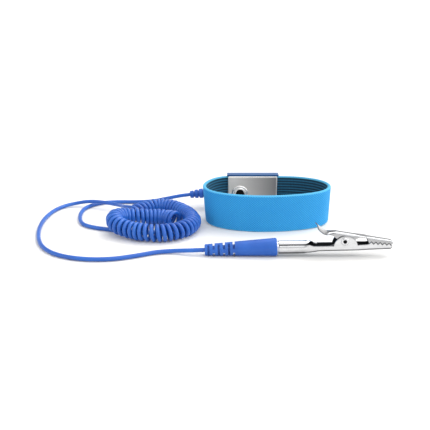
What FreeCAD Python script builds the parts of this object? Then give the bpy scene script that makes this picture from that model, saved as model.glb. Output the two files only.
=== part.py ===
import FreeCAD, Part
import os, math

# ESD wrist strap: elastic wristband with a hinged-lid clasp, snap connector,
# curly ground cord with two straight leads, banana plug and alligator clip.
# Millimetres, +Z up, everything lies on z = 0. Origin: bottom centre of the wristband's box.

V = FreeCAD.Vector
os.makedirs("parts", exist_ok=True)

# ------------------------------------------------------------------ driving dimensions
ORIGIN = V(0.54, -1.34, 0.0)     # moves the design frame onto the wristband's box centre

BAND_W = 20.0                    # elastic band width (stands on its edge)
BAND_T = 1.8                     # elastic band thickness
BAND_RISE = 0.0275               # slope of the band's edge from the front up to the clasp

CLASP_X0, CLASP_X1 = -21.8, 7.5  # clasp frame, left and right
CLASP_H = 22.0                   # clasp frame height
WALL = 0.9                       # clasp frame wall
LAYER_Y0, LAYER_Y1 = 15.2, 17.0  # the band's layer inside the clasp
FRAME_Y1 = 20.3                  # outer face of the clasp
SEAT_Y0, SEAT_Y1 = 17.1, 19.0    # plate of the frame that carries the stud
PLATE_X0, PLATE_X1 = -21.2, 6.7  # steel contact plate
PLATE_Z0, PLATE_Z1 = 1.0, 21.0
PLATE_T = 0.6
PLATE_Y1 = 15.15

STUD_X, STUD_Z = -14.4, 11.0     # snap stud axis (along Y)
RIVET_R, RIVET_BORE = 4.65, 2.2  # eyelet flange and bore
RIVET_TUBE = 2.6
STUD_BASE_R, STUD_BALL_R, STUD_NECK_R = 4.4, 2.0, 1.65
SOCKET_R = 2.06                  # socket bore over the ball, 0.06 radial clearance

PIN_X, PIN_Y, PIN_R = 5.2, 18.45, 0.6   # lid hinge pin
LID_X0 = -4.7

CONN_R = 6.8                     # snap connector housing
CONN_Y0, CONN_Y1 = 19.85, 27.4
CONN_AXIS_Y = 23.9
DROOP = 6.4                      # degrees that the connector's arm hangs at rest
ARM = 29.1                       # stud axis to strain relief end

CORD_D = 2.1                     # ground cord
COIL_D = 9.2                     # outer diameter of the curly part

BOOT_X0, BOOT_X1 = -33.6, 0.8
BOOT_Y = -53.6
BOOT_R0, BOOT_R1 = 2.7, 4.3
CLIP_Y = -53.6
CLIP_X0, CLIP_Z0 = 1.7, 4.15     # rear end of the clip's barrel, on its axis
CLIP_TILT = 0.8                  # degrees nose up
BARREL_R, SHEET = 3.15, 0.5
PIVOT_S, PIVOT_H = 31.0, 3.5     # jaw pivot in the clip's own frame

out = {}

def put(name, shape):
    s = shape.copy()
    s.translate(ORIGIN)
    if s.ShapeType == "Compound" and len(s.Solids) == 1:
        s = s.Solids[0]
    out[name] = s
    s.exportStep("parts/%s.step" % name)
    b = s.BoundBox
    print("%-24s solids %d valid %s vol %9.2f  x %.2f %.2f y %.2f %.2f z %.2f %.2f" % (
        name, len(s.Solids), s.isValid(), s.Volume, b.XMin, b.XMax, b.YMin, b.YMax, b.ZMin, b.ZMax))

def box(x0, x1, y0, y1, z0, z1):
    return Part.makeBox(x1 - x0, y1 - y0, z1 - z0, V(x0, y0, z0))

def cyl(r, p, d, h):
    return Part.makeCylinder(r, h, V(*p), V(*d))

def poly_xz(pts, y0, y1):
    w = Part.makePolygon([V(x, y0, z) for x, z in pts] + [V(pts[0][0], y0, pts[0][1])])
    return Part.Face(w).extrude(V(0, y1 - y0, 0))

def poly_xy(pts, z0, z1):
    w = Part.makePolygon([V(x, y, z0) for x, y in pts] + [V(pts[0][0], pts[0][1], z0)])
    return Part.Face(w).extrude(V(0, 0, z1 - z0))

def revolve_x(prof):
    # profile of (s, r) about +X, closed on the axis by its first and last points
    w = Part.makePolygon([V(s, 0, r) for s, r in prof] + [V(prof[0][0], 0, prof[0][1])])
    return Part.Face(w).revolve(V(0, 0, 0), V(1, 0, 0), 360)

def chamfer_faces(shape, size, test):
    es = [e for e in shape.Edges if test(e)]
    return shape.makeChamfer(size, es)

def fillet_faces(shape, size, test):
    es = [e for e in shape.Edges if test(e)]
    return shape.makeFillet(size, es)

def solid_tube(name, pts, dia):
    # straight runs joined by tangent arcs, radius 0.45 of the shorter run / tan(half the turn)
    P = [V(*p) for p in pts]
    edges, cur, radii, turns, length = [], P[0], [], [], 0.0
    for i in range(1, len(P) - 1):
        a = P[i] - P[i - 1]
        b = P[i + 1] - P[i]
        la, lb = a.Length, b.Length
        ua, ub = a.normalize(), b.normalize()
        turn = math.acos(max(-1.0, min(1.0, ua.dot(ub))))
        cut = 0.45 * min(la, lb)
        r = cut / math.tan(turn / 2)
        p1, p2 = P[i] - ua * cut, P[i] + ub * cut
        bis = (ub - ua)
        bis.normalize()
        centre = P[i] + bis * (r / math.cos(turn / 2))
        m = P[i] - centre
        m.normalize()
        pm = centre + m * r
        edges.append(Part.LineSegment(cur, p1).toShape())
        edges.append(Part.Arc(p1, pm, p2).toShape())
        cur = p2
        radii.append(r)
        turns.append(math.degrees(turn))
    edges.append(Part.LineSegment(cur, P[-1]).toShape())
    wire = Part.Wire(edges)
    d0 = P[1] - P[0]
    ring = Part.Wire([Part.Circle(P[0], d0, dia / 2).toShape()])
    s = wire.makePipeShell([ring], True, False)
    if s.ShapeType != "Solid":
        s = Part.Solid(Part.Shell(s.Faces))
    want = math.pi * dia * dia / 4 * wire.Length
    runs = [(P[i + 1] - P[i]).Length for i in range(len(P) - 1)]
    print("%s: length %.1f  runs %s" % (name, wire.Length, " ".join("%.1f" % r for r in runs)))
    print("   radii %s" % " ".join("%.1f" % r for r in radii))
    print("   turns %s" % " ".join("%.0f" % t for t in turns))
    print("   smallest radius %.1f = %.1f diameters; volume / (section x length) = %.4f" % (
        min(radii), min(radii) / dia, s.Volume / want))
    return s

# ------------------------------------------------------------------ wristband
# centre line of the band, from its end riveted in the clasp round to the free end under the lid
BAND_LINE = [
    (-9.0, 16.1), (-13.0, 16.1), (-17.0, 16.1), (-21.0, 16.08), (-24.0, 15.4), (-26.8, 13.7), (-29.6, 10.8), (-32.2, 6.2),
    (-33.7, 0.6), (-33.2, -5.0), (-30.4, -9.8), (-26.0, -13.2), (-20.4, -15.9), (-10.8, -18.4),
    (0.0, -18.95), (11.0, -17.4), (21.0, -14.3), (27.8, -10.2), (31.6, -5.2), (32.7, -0.4),
    (31.6, 4.6), (28.4, 9.2), (23.6, 12.6), (18.6, 14.7), (13.6, 15.75), (9.0, 16.08), (5.0, 16.1), (1.0, 16.1), (-3.6, 16.1)]

def band_solid():
    c = Part.BSplineCurve()
    c.interpolate([V(x, y, 0) for x, y in BAND_LINE])
    n = 96
    a, b = c.FirstParameter, c.LastParameter
    outer, inner = [], []
    for i in range(n + 1):
        # finer sampling needs no arc length: the line's points are evenly spread
        u = a + (b - a) * i / n
        p, t = c.value(u), c.tangent(u)[0]
        nrm = V(-t.y, t.x, 0)
        outer.append(p - nrm * (BAND_T / 2))
        inner.append(p + nrm * (BAND_T / 2))
    def curve(pts):
        k = Part.BSplineCurve()
        k.approximate(Points=pts, DegMin=3, DegMax=5, Tolerance=0.01)
        return k.toShape()
    e1, e2 = curve(outer), curve(inner)
    def ends(e):
        return e.valueAt(e.FirstParameter), e.valueAt(e.LastParameter)
    o0, o1 = ends(e1)
    i0, i1 = ends(e2)
    w = Part.Wire(Part.__sortEdges__([e1, Part.LineSegment(o1, i1).toShape(), e2, Part.LineSegment(i0, o0).toShape()]))
    s = Part.Face(w).extrude(V(0, 0, BAND_W))
    m = FreeCAD.Matrix()
    m.A32 = BAND_RISE
    m.A34 = BAND_RISE * 20.1
    s = s.transformGeometry(m)
    s = s.cut(cyl(RIVET_TUBE + 0.05, (STUD_X, 10, STUD_Z), (0, 1, 0), 12))
    print("band centre line %.1f mm" % c.length())
    return s

put("elastic_band", band_solid())

# steel contact plate, bevelled all round on the skin side
plate = box(PLATE_X0, PLATE_X1, PLATE_Y1 - PLATE_T, PLATE_Y1, PLATE_Z0, PLATE_Z1)
ve = [e for e in plate.Edges if abs(e.Vertexes[0].Y - e.Vertexes[1].Y) > 0.1]
plate = plate.makeFillet(0.8, ve)
plate = chamfer_faces(plate, 0.35, lambda e: e.BoundBox.YMax < PLATE_Y1 - PLATE_T + 0.01)
plate = plate.cut(cyl(RIVET_TUBE + 0.05, (STUD_X, 10, STUD_Z), (0, 1, 0), 8))
put("backplate", plate)

# blue plastic clasp frame: two walls, the stud's seat, a bar over the band at the hinge end
fr = box(CLASP_X0, CLASP_X1, PLATE_Y1, FRAME_Y1, 0, WALL)
fr = fr.fuse(box(CLASP_X0, CLASP_X1, PLATE_Y1, FRAME_Y1, CLASP_H - WALL, CLASP_H))
fr = fr.fuse(box(CLASP_X0, -5.2, SEAT_Y0, SEAT_Y1, WALL - 0.1, CLASP_H - WALL + 0.1))
fr = fr.fuse(box(CLASP_X0, CLASP_X0 + 1.4, SEAT_Y0, SEAT_Y1 + 0.5, WALL - 0.1, CLASP_H - WALL + 0.1))
fr = fr.removeSplitter()
fr = fillet_faces(fr, 0.35, lambda e: abs(e.BoundBox.YMin - FRAME_Y1) < 1e-4 and abs(e.BoundBox.YMax - FRAME_Y1) < 1e-4
                  and (e.BoundBox.ZMax < 0.01 or e.BoundBox.ZMin > CLASP_H - 0.01))
fr = fr.cut(cyl(RIVET_TUBE + 0.05, (STUD_X, 10, STUD_Z), (0, 1, 0), 15))
fr = fr.cut(cyl(PIN_R + 0.02, (PIN_X, PIN_Y, -1), (0, 0, 1), 30))
put("buckle_frame", fr)

pin = cyl(PIN_R, (PIN_X, PIN_Y, 0.15), (0, 0, 1), CLASP_H - 0.3)
put("lid_hinge_pin", pin)

# eyelet: rolled flange on the skin side and a tube through plate, band and frame
ey = Part.makePolygon([V(0, 0, 0)] * 0 + [V(RIVET_BORE, 13.95, 0), V(RIVET_BORE + 0.35, 13.72, 0), V(3.2, 13.72, 0),
                       V(3.45, 13.9, 0), V(3.7, 13.9, 0), V(3.95, 13.74, 0), V(4.35, 13.8, 0), V(RIVET_R, 14.15, 0),
                       V(RIVET_R, PLATE_Y1 - PLATE_T, 0), V(RIVET_TUBE, PLATE_Y1 - PLATE_T, 0),
                       V(RIVET_TUBE, SEAT_Y1, 0), V(RIVET_BORE, SEAT_Y1, 0), V(RIVET_BORE, 13.95, 0)])
eyelet = Part.Face(ey).revolve(V(0, 0, 0), V(0, 1, 0), 360)
eyelet.translate(V(STUD_X, 0, STUD_Z))
put("stud_rivet", eyelet)

st = Part.makePolygon([V(0, 16.6, 0), V(RIVET_BORE - 0.05, 16.6, 0), V(RIVET_BORE - 0.05, SEAT_Y1, 0), V(STUD_BASE_R, SEAT_Y1, 0),
                       V(STUD_BASE_R, 19.45, 0), V(STUD_BASE_R - 0.3, 19.7, 0), V(2.1, 19.7, 0), V(STUD_NECK_R, 20.0, 0),
                       V(STUD_NECK_R, 20.5, 0), V(STUD_BALL_R, 21.0, 0), V(STUD_BALL_R, 21.9, 0), V(1.6, 22.45, 0),
                       V(0.9, 22.6, 0), V(0, 22.6, 0), V(0, 16.6, 0)])
stud = Part.Face(st).revolve(V(0, 0, 0), V(0, 1, 0), 360)
stud.translate(V(STUD_X, 0, STUD_Z))
put("snap_stud", stud)

# clamping lid: barrel on the pin, cover with a thumb edge, teeth that bite the band
LZ0, LZ1 = WALL + 0.2, CLASP_H - WALL - 0.2
lid = poly_xy([(LID_X0, 18.7), (LID_X0, 19.9), (LID_X0 + 0.5, FRAME_Y1), (4.3, FRAME_Y1), (5.4, 20.2), (6.1, 19.75), (6.5, 18.9),
               (6.5, 18.0), (6.0, 17.37), (5.3, 17.08), (4.5, 17.12), (3.4, 17.12), (2.6, 17.9), (-1.2, 18.3), (-2.0, 17.12),
               (-2.5, 17.12), (-2.9, 18.3)], LZ0, LZ1)
lid = lid.cut(cyl(PIN_R + 0.05, (PIN_X, PIN_Y, -1), (0, 0, 1), 30))
for i in range(3):
    x = LID_X0 + 1.0 + i * 0.9
    lid = lid.cut(box(x, x + 0.35, FRAME_Y1 - 0.25, FRAME_Y1 + 1, LZ0 + 2.5, LZ1 - 2.5))
put("buckle_lid", lid)

# ------------------------------------------------------------------ snap connector
def along_arm(shape):
    # shape built about +X from the stud axis: swing it to point along the arm
    s = shape.copy()
    s.rotate(V(0, 0, 0), V(0, 0, 1), 180)
    s.rotate(V(0, 0, 0), V(0, 1, 0), -DROOP)
    s.translate(V(STUD_X, CONN_AXIS_Y, STUD_Z))
    return s

hs = cyl(CONN_R, (STUD_X, CONN_Y0, STUD_Z), (0, 1, 0), CONN_Y1 - CONN_Y0)
hs = fillet_faces(hs, 1.3, lambda e: e.BoundBox.YMin > CONN_Y1 - 0.01 and e.Length > 20)
arm = along_arm(Part.makeCone(3.45, 3.0, 16.9, V(4.0, 0, 0), V(1, 0, 0)))
hs = hs.fuse(arm)
hs = hs.cut(cyl(4.62, (STUD_X, CONN_Y0 - 1, STUD_Z), (0, 1, 0), 23.6 - CONN_Y0 + 1))
bore = Part.makeCylinder(0.35, 17.0, V(4.0, 0, 0), V(1, 0, 0)).fuse(Part.makeCylinder(1.35, 6.5, V(8.5, 0, 0), V(1, 0, 0)))
hs = hs.cut(along_arm(bore))
put("connector_housing", hs)

sr = [(20.9, 0), (20.9, 2.3), (21.6, 2.3), (21.6, 2.8), (23.7, 2.7), (23.7, 1.9), (24.4, 1.9), (24.4, 2.6), (26.2, 2.5),
      (26.2, 1.7), (27.0, 1.7), (27.0, 2.2), (28.9, 2.05), (ARM, 1.85), (ARM, 0)]
put("connector_strain_relief", along_arm(revolve_x(sr)))

sk = Part.makePolygon([V(SOCKET_R, CONN_Y0 + 0.05, 0), V(4.6, CONN_Y0 + 0.05, 0), V(4.6, 23.55, 0), V(0, 23.55, 0), V(0, 23.0, 0),
                       V(SOCKET_R, 23.0, 0), V(SOCKET_R, 21.5, 0), V(3.1, 21.5, 0), V(3.1, 20.6, 0), V(SOCKET_R, 20.6, 0),
                       V(SOCKET_R, CONN_Y0 + 0.05, 0)])
socket = Part.Face(sk).revolve(V(0, 0, 0), V(0, 1, 0), 360)
socket.translate(V(STUD_X, 0, STUD_Z))
put("snap_socket", socket)

ring = Part.makeTorus(2.55, 0.3, V(STUD_X, 21.05, STUD_Z), V(0, 1, 0))
ring = ring.cut(box(STUD_X - 0.8, STUD_X + 0.8, 20, 22, STUD_Z, STUD_Z + 5))
put("socket_spring", ring)

res = revolve_x([(8.6, 0), (8.6, 0.95), (8.9, 1.25), (9.9, 1.25), (10.2, 1.1), (13.3, 1.1), (13.6, 1.25), (14.6, 1.25), (14.9, 0.95), (14.9, 0)])
put("resistor_body", along_arm(res))
ld = Part.makeCompound([Part.makeCylinder(0.3, 8.6 - 4.66, V(4.66, 0, 0), V(1, 0, 0)),
                        Part.makeCylinder(0.3, 20.85 - 14.9, V(14.9, 0, 0), V(1, 0, 0))])
put("resistor_leads", along_arm(ld))

# ------------------------------------------------------------------ cord
a0 = math.radians(DROOP)
SR_END = (STUD_X - ARM * math.cos(a0), CONN_AXIS_Y, STUD_Z - ARM * math.sin(a0))
SR_OUT = (SR_END[0] - 5.2 * math.cos(a0), CONN_AXIS_Y, SR_END[2] - 5.2 * math.sin(a0))
F = 1.15                          # centre of the cord lying on the surface
WRIST_LEAD = [
    SR_END, SR_OUT, (-57.0, 26.6, 4.6), (-66.8, 29.1, 2.0), (-77.1, 30.7, F), (-87.2, 31.1, F),
    (-95.9, 29.4, F), (-101.9, 24.0, F), (-105.0, 15.8, F), (-104.9, 6.1, F), (-103.2, -3.6, F), (-99.9, -11.5, F),
    (-93.3, -16.3, F), (-84.5, -19.5, F), (-75.4, -22.4, F), (-67.4, -24.4, F), (-60.8, -23.6, F), (-56.6, -21.4, F),
    (-53.9, -18.7, 1.5), (-52.95, -17.35, 3.1), (-52.87, -16.95, 4.65)]
CZ = COIL_D / 2 + 0.05
COIL = [
    (-74.0, -2.8, CZ), (-69.9, 4.0, CZ), (-64.2, 9.8, CZ), (-57.2, 10.9, CZ), (-50.6, 6.2, CZ), (-45.4, -1.2, CZ),
    (-41.6, -9.4, CZ), (-40.2, -17.6, CZ), (-42.2, -25.0, CZ), (-47.0, -31.2, CZ), (-54.4, -34.9, CZ), (-63.2, -34.4, CZ),
    (-72.2, -31.2, 5.0), (-79.2, -26.6, 6.0), (-81.7, -21.4, 7.1), (-80.9, -15.9, 7.1), (-77.0, -12.1, 6.3),
    (-70.2, -10.6, 5.3), (-62.4, -9.4, CZ), (-54.6, -9.6, CZ), (-50.2, -14.6, CZ)]
BOOT_A = math.degrees(math.atan2(BOOT_R1 - BOOT_R0, BOOT_X1 - BOOT_X0))
BOOT_Z0 = BOOT_R0 + 0.08
CLIP_LEAD = [
    (-74.0, -2.8, 8.2), (-78.3, -0.2, 7.7), (-80.8, 7.0, 5.9), (-85.2, 14.8, 4.3), (-92.9, 20.6, 3.9), (-102.5, 24.1, 3.7),
    (-111.7, 25.2, 1.9), (-118.3, 21.5, F), (-121.7, 12.6, F), (-123.4, -0.6, F), (-122.4, -16.2, F), (-119.1, -32.0, F),
    (-113.4, -46.2, F), (-104.2, -56.2, F), (-91.6, -61.4, F), (-78.2, -61.8, F), (-66.9, -57.5, F), (-57.3, -52.2, F),
    (-48.4, -51.2, 1.4), (BOOT_X0 - 6.6, BOOT_Y, BOOT_Z0 - 6.6 * math.tan(math.radians(BOOT_A))), (BOOT_X0, BOOT_Y, BOOT_Z0)]
put("lead_to_wrist", solid_tube("lead_to_wrist", WRIST_LEAD, CORD_D))
put("cord_coil", solid_tube("cord_coil", COIL, COIL_D))
put("lead_to_clip", solid_tube("lead_to_clip", CLIP_LEAD, CORD_D))

# ------------------------------------------------------------------ boot of the plug
BL = math.hypot(BOOT_X1 - BOOT_X0, BOOT_R1 - BOOT_R0)
RIB_END = 15.0
prof = [(0, 0), (0, BOOT_R0 - 0.25), (0.3, BOOT_R0), (RIB_END, 3.45), (RIB_END + 0.8, 3.5), (BL - 0.5, BOOT_R1), (BL, BOOT_R1 - 0.35), (BL, 0)]
boot = revolve_x(prof)
for i, s in enumerate((1.8, 4.3, 6.7, 9.2, 11.6, 13.9)):
    cut = Part.makeCylinder(5, 0.95, V(s - 0.47, 0, 0), V(1, 0, 0)).cut(Part.makeCylinder(1.75, 0.95, V(s - 0.47, 0, 0), V(1, 0, 0)))
    if i % 2:
        cut = cut.cut(box(s - 2, s + 2, -6, 6, -1.0, 1.0))
    else:
        cut = cut.cut(box(s - 2, s + 2, -1.0, 1.0, -6, 6))
    boot = boot.cut(cut)
def along_boot(s):
    s = s.copy()
    s.rotate(V(0, 0, 0), V(0, 1, 0), -BOOT_A)
    s.translate(V(BOOT_X0, BOOT_Y, BOOT_Z0))
    return s
def in_clip(s):
    s = s.copy()
    s.rotate(V(0, 0, 0), V(0, 1, 0), -CLIP_TILT)
    s.translate(V(CLIP_X0, CLIP_Y, CLIP_Z0))
    return s
shoulder = in_clip(revolve_x([(-4.0, 0), (-4.0, 2.4), (-0.95, 2.4), (-0.95, 2.95), (-0.15, 2.95), (-0.15, 1.45), (10.2, 1.45), (10.9, 0.9), (10.9, 0)]))
boot = along_boot(boot).cut(in_clip(Part.makeCylinder(2.4, 3.2, V(-4.0, 0, 0), V(1, 0, 0)).fuse(Part.makeCylinder(2.97, 3, V(-0.97, 0, 0), V(1, 0, 0)))))
put("clip_boot", boot)
put("plug_pin", shoulder)

# four bowed contact leaves round the pin
lv = Part.makePolygon([V(0.6, 0, 1.46), V(2.0, 0, 1.5), V(4.5, 0, 2.35), (V(6.0, 0, 2.58)), V(7.5, 0, 2.35), V(9.6, 0, 1.5), V(10.0, 0, 1.46),
                       V(10.0, 0, 1.72), V(9.8, 0, 1.76), V(7.6, 0, 2.6), V(6.0, 0, 2.6), V(4.4, 0, 2.6), V(1.9, 0, 1.76), V(0.6, 0, 1.72), V(0.6, 0, 1.46)])
leaves = Part.Face(lv).revolve(V(0, 0, 0), V(1, 0, 0), 360)
for a in (0, 90):
    slot = box(1.6, 9.2, -4, 4, -0.35, 0.35)
    slot.rotate(V(0, 0, 0), V(1, 0, 0), 45 + a)
    leaves = leaves.cut(slot)
put("plug_leaves", in_clip(leaves))

# ------------------------------------------------------------------ alligator clip, own frame: s along +X, h up
def prism(side, plan):
    return poly_xz(side, -8, 8).common(poly_xy(plan, -12, 20))

def mirror_plan(half):
    return [(x, y) for x, y in half] + [(x, -y) for x, y in reversed(half)]

# meeting line of the teeth, five teeth and a tip
N_T, T0, T1 = 5, 42.6, 53.2
zig = []
for i in range(N_T):
    p = (T1 - T0) / N_T
    x = T0 + i * p
    base0 = 2.5 - 1.2 * (x - T0) / (T1 - T0)
    base1 = 2.5 - 1.2 * (x + p / 2 - T0) / (T1 - T0)
    zig += [(x, base0 - 0.55), (x + p / 2, base1 + 0.55)]
zig.append((T1, 1.3 - 0.55))
GAP = 0.06

low_line = [(x, h - GAP) for x, h in zig]
up_line = [(x, h + GAP) for x, h in zig]
ear = [(31.5 + 5.65 * math.cos(math.radians(a)), 0.55 + 5.65 * math.sin(math.radians(a))) for a in range(172, 10, -10)]

low_side = [(11.9, -2.3), (19.0, -1.3), (53.0, -0.8), (53.9, -0.2), (53.9, 0.7)] + list(reversed(low_line)) + \
    [(42.0, 1.65)] + list(reversed(ear)) + [(25.6, 1.25), (16.2, 1.25), (14.6, 1.9), (11.9, 2.5)]
low_plan = mirror_plan([(11.9, 3.1), (16, 2.9), (26, 2.85), (37.6, 2.85), (42.2, 2.25), (53.2, 1.75), (53.9, 1.3)])
low_in_side = [(11.0, -1.8), (19.0, -0.8), (53.2, -0.3), (53.2, 9), (11.0, 9)]
low_in_plan = mirror_plan([(11.0, 2.6), (16, 2.4), (26, 2.35), (37.4, 2.35), (42.0, 1.75), (52.9, 1.25), (53.4, 1.0)])
lower = prism(low_side, low_plan).cut(prism(low_in_side, low_in_plan))
barrel = Part.makeCylinder(BARREL_R, 12.2, V(0, 0, 0), V(1, 0, 0))
lower = lower.fuse(barrel).cut(Part.makeCylinder(BARREL_R - SHEET, 14.5, V(-1, 0, 0), V(1, 0, 0)))
slit = box(-1, 12.3, -5, -2.0, -0.22, 0.22)
slit.rotate(V(0, 0, 0), V(1, 0, 0), -35)
lower = lower.cut(slit)
lower = lower.cut(cyl(0.97, (PIVOT_S, -8, PIVOT_H), (0, 1, 0), 16))
lower = lower.removeSplitter()
put("lower_jaw", in_clip(lower))

up_side = [(21.8, 7.9), (23.7, 7.75), (27.1, 7.95), (53.6, 3.15), (54.1, 2.6), (54.1, 1.5), (53.6, 0.9)] + list(reversed(up_line)) + \
    [(42.2, 3.1), (41.3, 5.0), (38.2, 5.1), (36.5, 4.5), (34.3, 1.9), (33.0, 1.1), (31.0, 0.75), (29.2, 1.2), (28.0, 2.8), (27.3, 4.6), (25.6, 6.0), (21.9, 7.3)]
up_plan = mirror_plan([(21.8, 2.6), (24.4, 2.25), (42.0, 2.25), (53.2, 1.75), (54.1, 1.3)])
up_in_side = [(20.0, -3), (20.0, 7.35), (23.7, 7.25), (27.1, 7.45), (53.2, 2.7), (53.5, 2.2), (53.5, -3)]
up_in_plan = mirror_plan([(20.0, 2.4), (24.4, 1.75), (42.0, 1.75), (52.9, 1.25), (53.6, 1.0)])
upper = prism(up_side, up_plan).cut(prism(up_in_side, up_in_plan))
# thumb tab: the sheet widens and curls up behind the cheeks
tab_side = [(24.2, 7.7), (24.2, 7.26), (23.0, 7.25), (21.4, 7.55), (19.9, 8.3), (18.5, 9.5), (17.3, 11.0), (17.75, 11.35), (18.9, 9.95), (20.2, 8.8), (21.6, 8.1), (23.0, 7.75)]
tab = prism(tab_side, mirror_plan([(16.5, 3.2), (18.6, 4.0), (21.2, 3.8), (24.2, 2.2)]))
upper = upper.fuse(tab).removeSplitter()
upper = upper.cut(cyl(0.97 + 0.03, (PIVOT_S, -8, PIVOT_H), (0, 1, 0), 16))
put("upper_jaw", in_clip(upper))

rv = cyl(0.95, (PIVOT_S, -2.86, PIVOT_H), (0, 1, 0), 5.72)
for sgn in (-1, 1):
    y0 = sgn * 2.85
    head = Part.makeCylinder(1.65, 0.45, V(PIVOT_S, y0, PIVOT_H), V(0, sgn, 0))
    rv = rv.fuse(head)
    rv = rv.cut(Part.makeCylinder(0.6, 1.0, V(PIVOT_S, sgn * 3.4, PIVOT_H), V(0, -sgn, 0)))
put("pivot_rivet", in_clip(rv))

# torsion spring: three turns on the pivot, one leg under the upper sheet, one on the lower floor
sp = None
for k in (-1, 0, 1):
    t = Part.makeTorus(1.5, 0.32, V(PIVOT_S, k * 0.66, PIVOT_H), V(0, 1, 0))
    sp = t if sp is None else sp.fuse(t)
sp = sp.fuse(Part.makeCylinder(0.3, 1.4, V(PIVOT_S - 1.5, -0.7, PIVOT_H), V(0, 1, 0)))
leg1 = Part.makeCylinder(0.3, 4.2, V(PIVOT_S - 0.2, -0.66, PIVOT_H + 1.5), V(-0.88, 0, 0.475))
leg2 = Part.makeCylinder(0.3, 7.2, V(PIVOT_S + 0.0, 0.66, PIVOT_H - 1.5), V(-0.955, 0, -0.297))
sp = sp.fuse(leg1).fuse(leg2)
put("jaw_spring", in_clip(sp))

# ------------------------------------------------------------------ summary for the record
cord = ["connector_housing", "connector_strain_relief", "snap_socket", "socket_spring", "resistor_body", "resistor_leads",
        "lead_to_wrist", "cord_coil", "lead_to_clip", "clip_boot", "plug_pin", "plug_leaves", "lower_jaw", "upper_jaw",
        "pivot_rivet", "jaw_spring"]
bb = FreeCAD.BoundBox()
for n, s in out.items():
    if n not in cord:
        bb.add(s.BoundBox)
print("wristband box x %.3f %.3f y %.3f %.3f z %.3f %.3f centre %.3f %.3f" % (
    bb.XMin, bb.XMax, bb.YMin, bb.YMax, bb.ZMin, bb.ZMax, (bb.XMin + bb.XMax) / 2, (bb.YMin + bb.YMax) / 2))
ba = FreeCAD.BoundBox()
for s in out.values():
    ba.add(s.BoundBox)
print("whole box x %.2f %.2f y %.2f %.2f z %.3f %.2f" % (ba.XMin, ba.XMax, ba.YMin, ba.YMax, ba.ZMin, ba.ZMax))
ct, sn = math.cos(math.radians(CLIP_TILT)), math.sin(math.radians(CLIP_TILT))
pv = V(CLIP_X0 + PIVOT_S * ct - PIVOT_H * sn, CLIP_Y, CLIP_Z0 + PIVOT_S * sn + PIVOT_H * ct) + ORIGIN
print("jaw pivot %.4f %.4f %.4f" % (pv.x, pv.y, pv.z))
print("clip axis %.6f 0 %.6f" % (ct, sn))
q = V(STUD_X, CONN_Y0, STUD_Z) + ORIGIN
print("stud axis point %.4f %.4f %.4f" % (q.x, q.y, q.z))
q = V(PIN_X, PIN_Y, 11) + ORIGIN
print("lid pin %.4f %.4f %.4f" % (q.x, q.y, q.z))
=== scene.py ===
import bpy, bmesh, math, random
from mathutils import Vector, Matrix, noise


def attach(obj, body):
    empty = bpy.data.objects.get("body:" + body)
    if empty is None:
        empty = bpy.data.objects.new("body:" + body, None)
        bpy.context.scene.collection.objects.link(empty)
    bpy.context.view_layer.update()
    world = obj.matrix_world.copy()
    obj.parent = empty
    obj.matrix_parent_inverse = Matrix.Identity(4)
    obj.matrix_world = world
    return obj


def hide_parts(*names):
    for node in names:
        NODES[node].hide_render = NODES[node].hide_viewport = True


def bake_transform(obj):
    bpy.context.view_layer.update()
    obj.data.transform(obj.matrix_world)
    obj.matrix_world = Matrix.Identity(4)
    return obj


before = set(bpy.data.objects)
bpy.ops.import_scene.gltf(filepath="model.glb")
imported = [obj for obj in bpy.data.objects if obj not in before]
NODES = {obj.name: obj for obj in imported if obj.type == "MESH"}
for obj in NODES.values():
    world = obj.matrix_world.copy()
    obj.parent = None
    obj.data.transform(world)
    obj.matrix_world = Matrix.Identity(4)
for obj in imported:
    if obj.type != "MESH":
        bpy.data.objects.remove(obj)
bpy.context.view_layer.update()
random.seed(7)

MM = 0.001
OX, OY = 0.54, -1.34              # the CAD's design frame moved onto the row's origin


def P(x, y, z):
    return Vector(((x + OX) * MM, (y + OY) * MM, z * MM))


# ------------------------------------------------------------------ camera
cam_data = bpy.data.cameras.new("camera")
cam_data.sensor_fit = "HORIZONTAL"
cam_data.sensor_width = 36.0
cam_data.lens = 36.0 * 660.0 / 430.0
cam_data.clip_start = 0.01
cam_data.clip_end = 9000.0
cam = bpy.data.objects.new("camera", cam_data)
bpy.context.scene.collection.objects.link(cam)
cam.location = P(-28.7, -348.6, 116.4)
cam.rotation_euler = (math.radians(90.0 - 18.04), 0.0, 0.0)
bpy.context.scene.camera = cam

# ------------------------------------------------------------------ cord routes (the points of part.py)
CORD_D = 2.1
COIL_D = 9.2
F = 1.15
DROOP = math.radians(6.4)
ARM = 29.1
STUD = (-14.4, 23.9, 11.0)
SR_END = (STUD[0] - ARM * math.cos(DROOP), STUD[1], STUD[2] - ARM * math.sin(DROOP))
SR_OUT = (SR_END[0] - 5.2 * math.cos(DROOP), STUD[1], SR_END[2] - 5.2 * math.sin(DROOP))
BOOT_X0, BOOT_X1, BOOT_Y, BOOT_R0, BOOT_R1 = -33.6, 0.8, -53.6, 2.7, 4.3
BOOT_A = math.atan2(BOOT_R1 - BOOT_R0, BOOT_X1 - BOOT_X0)
BOOT_Z0 = BOOT_R0 + 0.08
CZ = COIL_D / 2 + 0.05
WRIST_LEAD = [
    SR_END, SR_OUT, (-57.0, 26.6, 4.6), (-66.8, 29.1, 2.0), (-77.1, 30.7, F), (-87.2, 31.1, F),
    (-95.9, 29.4, F), (-101.9, 24.0, F), (-105.0, 15.8, F), (-104.9, 6.1, F), (-103.2, -3.6, F), (-99.9, -11.5, F),
    (-93.3, -16.3, F), (-84.5, -19.5, F), (-75.4, -22.4, F), (-67.4, -24.4, F), (-60.8, -23.6, F), (-56.6, -21.4, F),
    (-53.9, -18.7, 1.5), (-52.95, -17.35, 3.1), (-52.87, -16.95, 4.65)]
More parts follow.
